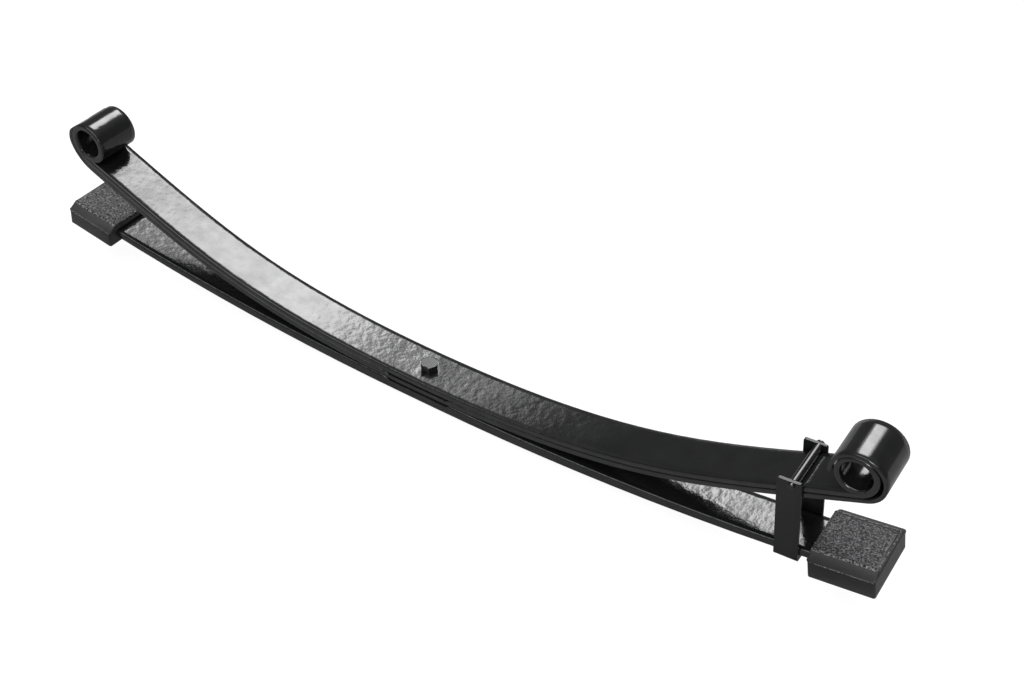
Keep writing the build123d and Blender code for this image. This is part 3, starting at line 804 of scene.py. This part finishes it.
def moulded_pad(name, node, pads, tilt, side):
    """Pad modelled along X, tilted into its node's place and slotted for the leaf's tip."""
    low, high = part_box(node)
    body_half = (high[1] - low[1]) / 2 - pads.bead
    reach = pads.length * math.cos(tilt) + pads.height * math.sin(tilt)
    start_x = (high[0] if side > 0 else -low[0]) - reach
    start_z = low[2] + pads.height * math.cos(tilt)
    pad = pad_block(name, pads, body_half)
    grain_top(pad, pads, body_half)
    mark_finishes(pad, pads, body_half)
    pad.rotation_euler = (0, -tilt, 0)
    pad.location = (start_x, 0, start_z)
    settle(pad)
    if side < 0:
        pad.rotation_euler = (0, 0, math.pi)
        settle(pad)

    leaf = merged_copy("helper_leaf", name + "_slot")
    bpy.ops.object.mode_set(mode="EDIT")
    bpy.ops.mesh.select_all(action="SELECT")
    bpy.ops.transform.shrink_fatten(value=SLOT_GAP)
    bpy.ops.object.mode_set(mode="OBJECT")
    cut_with(pad, leaf, "DIFFERENCE")
    smooth(pad, PAD_SHARP)
    return pad


class LEAFSPRING_OT_pads(bpy.types.Operator):
    """Mould the two end pads with their bevels, parting bead and coarse top grain"""

    bl_idname = "leafspring.pads"
    bl_label = "End pads"

    def execute(self, context):
        pads = context.scene.leafspring_pads
        rubber = context.scene.leafspring_rubber
        mat = rubber_material("pad_rubber", rubber)
        top = grained_material("pad_grained_top", rubber, rubber.speck_highlight)
        # Paler grained finish for the top edges and bead: painted highlight lines.
        rim = grained_material("pad_edge_highlight", rubber, EDGE_HIGHLIGHT_PALENESS * rubber.speck_highlight)
        for name, node, tilt, side in (
            ("left_end_pad", "left_pad", pads.left_tilt, -1),
            ("right_end_pad", "right_pad", pads.right_tilt, 1),
        ):
            dress(node, mat)
            pad = moulded_pad(name, node, pads, tilt, side)
            enter(pad, node, SLOTS["pad"], mat, top, rim)
        return {"FINISHED"}


def softbox(name, place, aim, size, power):
    """Rectangular lamp that faces a point."""
    bpy.ops.object.select_all(action="DESELECT")
    bpy.ops.object.light_add(type="AREA", location=place)
    lamp = bpy.context.object
    lamp.name = name
    lamp.data.shape = "RECTANGLE"
    lamp.data.size, lamp.data.size_y = size
    lamp.data.energy = power
    aim_line = Vector(aim) - Vector(place)
    lamp.rotation_euler = aim_line.to_track_quat("-Z", "Y").to_euler()


def white_when_seen(owner, mirrored_share):
    """1 where the camera looks, a share of it in gloss and glass, and 0 as a light."""
    path = add_node(owner, "ShaderNodeLightPath")
    mirrored = maths(
        owner, "MAXIMUM", path.outputs["Is Glossy Ray"], path.outputs["Is Transmission Ray"],
    )
    dimmed = maths(owner, "MULTIPLY", mirrored, mirrored_share)
    return maths(owner, "MAXIMUM", path.outputs["Is Camera Ray"], dimmed)


def floor_material(studio):
    """White floor that lights nothing and keeps a faint shadow."""
    mat, shader = new_material("floor_white")
    shader.inputs["Base Color"].default_value = FLOOR_COLOUR
    shader.inputs["Roughness"].default_value = FLOOR_ROUGHNESS
    shader.inputs["Emission Color"].default_value = WHITE
    seen = white_when_seen(mat, studio.floor_mirrored)
    glow = maths(mat, "MULTIPLY", seen, studio.floor_glow)
    wire(mat, glow, shader.inputs["Emission Strength"])
    return mat


def studio_world(studio):
    """Low sky, a large bright zone above and behind, and a weaker one in front."""
    world = bpy.data.worlds.new("studio")
    world.use_nodes = True
    coords = add_node(world, "ShaderNodeTexCoord")
    parts = add_node(world, "ShaderNodeSeparateXYZ")
    wire(world, coords.outputs["Generated"], parts.inputs["Vector"])

    def change(axis, start, end, low, high):
        return ramp(world, parts.outputs[axis], start, end, low, high, "SMOOTHSTEP")

    def limited(light, limits):
        for limit in limits:
            light = maths(world, "MULTIPLY", light, change(*limit))
        return light

    core = change(*CORE_EDGE, 0.0, CORE_SHARE * studio.zone_light)
    skirt = change(*SKIRT_EDGE, 0.0, SKIRT_SHARE * studio.zone_light)
    zone = limited(maths(world, "ADD", core, skirt), ZONE_LIMITS)
    front = limited(change(*FRONT_EDGE, 0.0, studio.front_zone), FRONT_LIMITS)
    sky = change(*SKY_RISE, studio.sky_low, studio.sky_high)
    light = maths(world, "ADD", maths(world, "ADD", zone, front), sky)
    backdrop = white_when_seen(world, studio.floor_mirrored)
    background = world.node_tree.nodes["Background"]
    background.inputs["Color"].default_value = WHITE
    wire(world, maths(world, "MAXIMUM", light, backdrop), background.inputs["Strength"])
    return world


class LEAFSPRING_OT_stage(bpy.types.Operator):
    """Set the pale floor, the soft light and the camera"""

    bl_idname = "leafspring.stage"
    bl_label = "Studio"

    def execute(self, context):
        studio = context.scene.leafspring_studio
        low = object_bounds()[0][2] - studio.floor_drop
        bpy.ops.object.select_all(action="DESELECT")
        bpy.ops.mesh.primitive_plane_add(size=FLOOR_SIZE, location=(0, 0, low))
        floor = context.object
        floor.name = "floor"
        floor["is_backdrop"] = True
        floor.data.materials.append(floor_material(studio))
        context.scene.world = studio_world(studio)
        softbox("softbox_front", LAMP_PLACE, LAMP_AIM, LAMP_SIZE, studio.front_power)
        bpy.ops.object.camera_add(location=CAMERA_PLACE, rotation=CAMERA_TURN)
        camera = context.object
        camera.data.lens = studio.lens
        camera.data.sensor_width = SENSOR_WIDTH
        camera.data.shift_x, camera.data.shift_y = CAMERA_SHIFT
        context.scene.camera = camera
        context.scene.view_settings.view_transform = "Standard"
        return {"FINISHED"}


class LEAFSPRING_PT_panel(bpy.types.Panel):
    """Sizes, colours and the steps that finish the spring"""

    bl_label = "Leaf Spring"
    bl_idname = "LEAFSPRING_PT_panel"
    bl_space_type = "VIEW_3D"
    bl_region_type = "UI"
    bl_category = "Leaf Spring"

    def draw(self, context):
        scene = context.scene
        for group in (getattr(scene, key) for key in GROUPS):
            box = self.layout.box()
            for name in group.__annotations__:
                box.prop(group, name)
        for step in STEPS:
            self.layout.operator(step.bl_idname)


STEPS = (
    LEAFSPRING_OT_leaves,
    LEAFSPRING_OT_hardware,
    LEAFSPRING_OT_bolt,
    LEAFSPRING_OT_pads,
    LEAFSPRING_OT_stage,
)
GROUPS = {
    "leafspring_paint": LeafSpringPaint,
    "leafspring_rubber": LeafSpringRubber,
    "leafspring_pads": LeafSpringPads,
    "leafspring_bolt": LeafSpringBolt,
    "leafspring_studio": LeafSpringStudio,
}


def register():
    for cls in (*GROUPS.values(), *STEPS, LEAFSPRING_PT_panel):
        bpy.utils.register_class(cls)
    for name, group in GROUPS.items():
        setattr(bpy.types.Scene, name, PointerProperty(type=group))


def unregister():
    for name in GROUPS:
        delattr(bpy.types.Scene, name)
    for cls in (LEAFSPRING_PT_panel, *reversed(STEPS), *GROUPS.values()):
        bpy.utils.unregister_class(cls)


def main():
    register()
    bpy.ops.leafspring.leaves()
    bpy.ops.leafspring.hardware()
    bpy.ops.leafspring.bolt()
    bpy.ops.leafspring.pads()
    bpy.ops.leafspring.stage()


if __name__ == "__main__":
    main()
